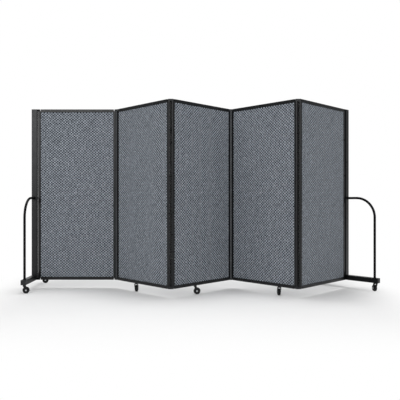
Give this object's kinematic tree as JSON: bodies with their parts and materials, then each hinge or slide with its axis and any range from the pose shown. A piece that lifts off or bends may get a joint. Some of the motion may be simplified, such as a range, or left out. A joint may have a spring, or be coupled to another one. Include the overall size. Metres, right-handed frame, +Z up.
{
  "type": "accordion folding partition",
  "caption": "Free-standing accordion partition of framed fabric panels on full-length hinges, with arched end frames and swivel casters.",
  "frame": {"origin": "on the floor, under the middle of the outline in plan", "axes": "+Z up, +X from the left end frame to the right end frame, -Y towards the viewer in the picture"},
  "size_m": [2.3482, 0.6266, 1.229],
  "materials": {
    "frame": "satin black powder coat",
    "fabric": "grey-blue woven upholstery fabric on a light board",
    "strip": "satin grey",
    "caps": "satin grey",
    "post": "satin black powder coat",
    "bar": "satin black powder coat",
    "tube": "gloss black",
    "fittings": "satin black",
    "plugs": "matt black",
    "forks": "satin black",
    "axles": "bright",
    "wheels": "matt dark grey"
  },
  "bodies": {
    "panel_1": {"panel_1_stiles": "frame", "panel_1_rails": "frame", "panel_1_infill": "fabric", "left_catches": "fittings"},
    "panel_2": {"panel_2_stiles": "frame", "panel_2_rails": "frame", "panel_2_infill": "fabric", "panel_2_socket": "plugs"},
    "panel_3": {"panel_3_stiles": "frame", "panel_3_rails": "frame", "panel_3_infill": "fabric", "panel_3_socket": "plugs"},
    "panel_4": {"panel_4_stiles": "frame", "panel_4_rails": "frame", "panel_4_infill": "fabric", "panel_4_socket": "plugs"},
    "panel_5": {"panel_5_stiles": "frame", "panel_5_rails": "frame", "panel_5_infill": "fabric", "right_catches": "fittings"},
    "fold_1": {"fold_1_strip": "strip", "fold_1_caps": "caps"},
    "fold_2": {"fold_2_strip": "strip", "fold_2_caps": "caps"},
    "fold_3": {"fold_3_strip": "strip", "fold_3_caps": "caps"},
    "fold_4": {"fold_4_strip": "strip", "fold_4_caps": "caps"},
    "left_end": {"left_post": "post", "left_bar": "bar", "left_plugs": "fittings", "left_arch": "tube", "left_lugs": "fittings"},
    "right_end": {"right_post": "post", "right_bar": "bar", "right_plugs": "fittings", "right_arch": "tube", "right_lugs": "fittings"},
    "left_front_swivel": {"left_front_fork": "forks", "left_front_axle": "axles"},
    "left_front_roller": {"left_front_wheel": "wheels"},
    "left_rear_swivel": {"left_rear_fork": "forks", "left_rear_axle": "axles"},
    "left_rear_roller": {"left_rear_wheel": "wheels"},
    "panel_2_caster_swivel": {"panel_2_caster_fork": "forks", "panel_2_caster_axle": "axles"},
    "panel_2_caster_roller": {"panel_2_caster_wheel": "wheels"},
    "panel_3_caster_swivel": {"panel_3_caster_fork": "forks", "panel_3_caster_axle": "axles"},
    "panel_3_caster_roller": {"panel_3_caster_wheel": "wheels"},
    "panel_4_caster_swivel": {"panel_4_caster_fork": "forks", "panel_4_caster_axle": "axles"},
    "panel_4_caster_roller": {"panel_4_caster_wheel": "wheels"},
    "right_front_swivel": {"right_front_fork": "forks", "right_front_axle": "axles"},
    "right_front_roller": {"right_front_wheel": "wheels"},
    "right_rear_swivel": {"right_rear_fork": "forks", "right_rear_axle": "axles"},
    "right_rear_roller": {"right_rear_wheel": "wheels"}
  },
  "joints": [
    {"name": "fold_2_right_pivot", "type": "hinge", "parent": "panel_3", "child": "fold_2", "pos_m": [-0.18654, -0.30633, 0.643], "axis": [0, 0, -1], "range_deg": [-135, 45]},
    {"name": "fold_2_left_pivot", "type": "hinge", "parent": "fold_2", "child": "panel_2", "pos_m": [-0.20854, -0.30633, 0.643], "axis": [0, 0, -1], "range_deg": [-135, 45]},
    {"name": "fold_1_right_pivot", "type": "hinge", "parent": "panel_2", "child": "fold_1", "pos_m": [-0.57977, 0.06491, 0.643], "axis": [0, 0, 1], "range_deg": [-112.5, 67.5]},
    {"name": "fold_1_left_pivot", "type": "hinge", "parent": "fold_1", "child": "panel_1", "pos_m": [-0.6001, 0.07333, 0.643], "axis": [0, 0, 1], "range_deg": [-112.5, 67.5]},
    {"name": "fold_3_left_pivot", "type": "hinge", "parent": "panel_3", "child": "fold_3", "pos_m": [0.18469, 0.06491, 0.643], "axis": [0, 0, -1], "range_deg": [-135, 45]},
    {"name": "fold_3_right_pivot", "type": "hinge", "parent": "fold_3", "child": "panel_4", "pos_m": [0.20669, 0.06491, 0.643], "axis": [0, 0, -1], "range_deg": [-135, 45]},
    {"name": "fold_4_left_pivot", "type": "hinge", "parent": "panel_4", "child": "fold_4", "pos_m": [0.57792, -0.30633, 0.643], "axis": [0, 0, 1], "range_deg": [-135, 45]},
    {"name": "fold_4_right_pivot", "type": "hinge", "parent": "fold_4", "child": "panel_5", "pos_m": [0.59992, -0.30633, 0.643], "axis": [0, 0, 1], "range_deg": [-135, 45]},
    {"name": "left_end_pivot", "type": "hinge", "parent": "panel_1", "child": "left_end", "pos_m": [-1.12509, 0.07333, 0.643], "axis": [0, 0, -1], "range_deg": [-90, 90]},
    {"name": "right_end_pivot", "type": "hinge", "parent": "panel_5", "child": "right_end", "pos_m": [0.97115, 0.06491, 0.643], "axis": [0, 0, -1], "range_deg": [-90, 90]},
    {"name": "left_front_swivel_turn", "type": "hinge", "parent": "left_end", "child": "left_front_swivel", "pos_m": [-1.1561, -0.14167, 0.057], "axis": [0, 0, 1], "continuous": true},
    {"name": "left_front_wheel_turn", "type": "hinge", "parent": "left_front_swivel", "child": "left_front_roller", "pos_m": [-1.14533, -0.13939, 0.022], "axis": [-0.2079, 0.9781, 0], "continuous": true},
    {"name": "left_rear_swivel_turn", "type": "hinge", "parent": "left_end", "child": "left_rear_swivel", "pos_m": [-1.1561, 0.28832, 0.057], "axis": [0, 0, 1], "continuous": true},
    {"name": "left_rear_wheel_turn", "type": "hinge", "parent": "left_rear_swivel", "child": "left_rear_roller", "pos_m": [-1.14542, 0.29099, 0.022], "axis": [-0.2419, 0.9703, 0], "continuous": true},
    {"name": "panel_2_caster_swivel_turn", "type": "hinge", "parent": "panel_2", "child": "panel_2_caster_swivel", "pos_m": [-0.43835, -0.07651, 0.057], "axis": [0, 0, 1], "continuous": true},
    {"name": "panel_2_caster_wheel_turn", "type": "hinge", "parent": "panel_2_caster_swivel", "child": "panel_2_caster_roller", "pos_m": [-0.43682, -0.06562, 0.022], "axis": [-0.9903, 0.1392, 0], "continuous": true},
    {"name": "panel_3_caster_swivel_turn", "type": "hinge", "parent": "panel_3", "child": "panel_3_caster_swivel", "pos_m": [-0.04795, -0.16773, 0.057], "axis": [0, 0, 1], "continuous": true},
    {"name": "panel_3_caster_wheel_turn", "type": "hinge", "parent": "panel_3_caster_swivel", "child": "panel_3_caster_roller", "pos_m": [-0.03697, -0.16697, 0.022], "axis": [-0.0698, 0.9976, 0], "continuous": true},
    {"name": "panel_4_caster_swivel_turn", "type": "hinge", "parent": "panel_4", "child": "panel_4_caster_swivel", "pos_m": [0.48529, -0.21369, 0.057], "axis": [0, 0, 1], "continuous": true},
    {"name": "panel_4_caster_wheel_turn", "type": "hinge", "parent": "panel_4_caster_swivel", "child": "panel_4_caster_roller", "pos_m": [0.48414, -0.20275, 0.022], "axis": [-0.9945, -0.1045, 0], "continuous": true},
    {"name": "right_front_swivel_turn", "type": "hinge", "parent": "right_end", "child": "right_front_swivel", "pos_m": [1.1451, -0.0652, 0.057], "axis": [0, 0, 1], "continuous": true},
    {"name": "right_front_wheel_turn", "type": "hinge", "parent": "right_front_swivel", "child": "right_front_roller", "pos_m": [1.14282, -0.05444, 0.022], "axis": [-0.9781, -0.2079, 0], "continuous": true},
    {"name": "right_rear_swivel_turn", "type": "hinge", "parent": "right_end", "child": "right_rear_swivel", "pos_m": [0.84105, 0.23885, 0.057], "axis": [0, 0, 1], "continuous": true},
    {"name": "right_rear_wheel_turn", "type": "hinge", "parent": "right_rear_swivel", "child": "right_rear_roller", "pos_m": [0.83914, 0.22802, 0.022], "axis": [0.9848, -0.1736, 0], "continuous": true}
  ]
}
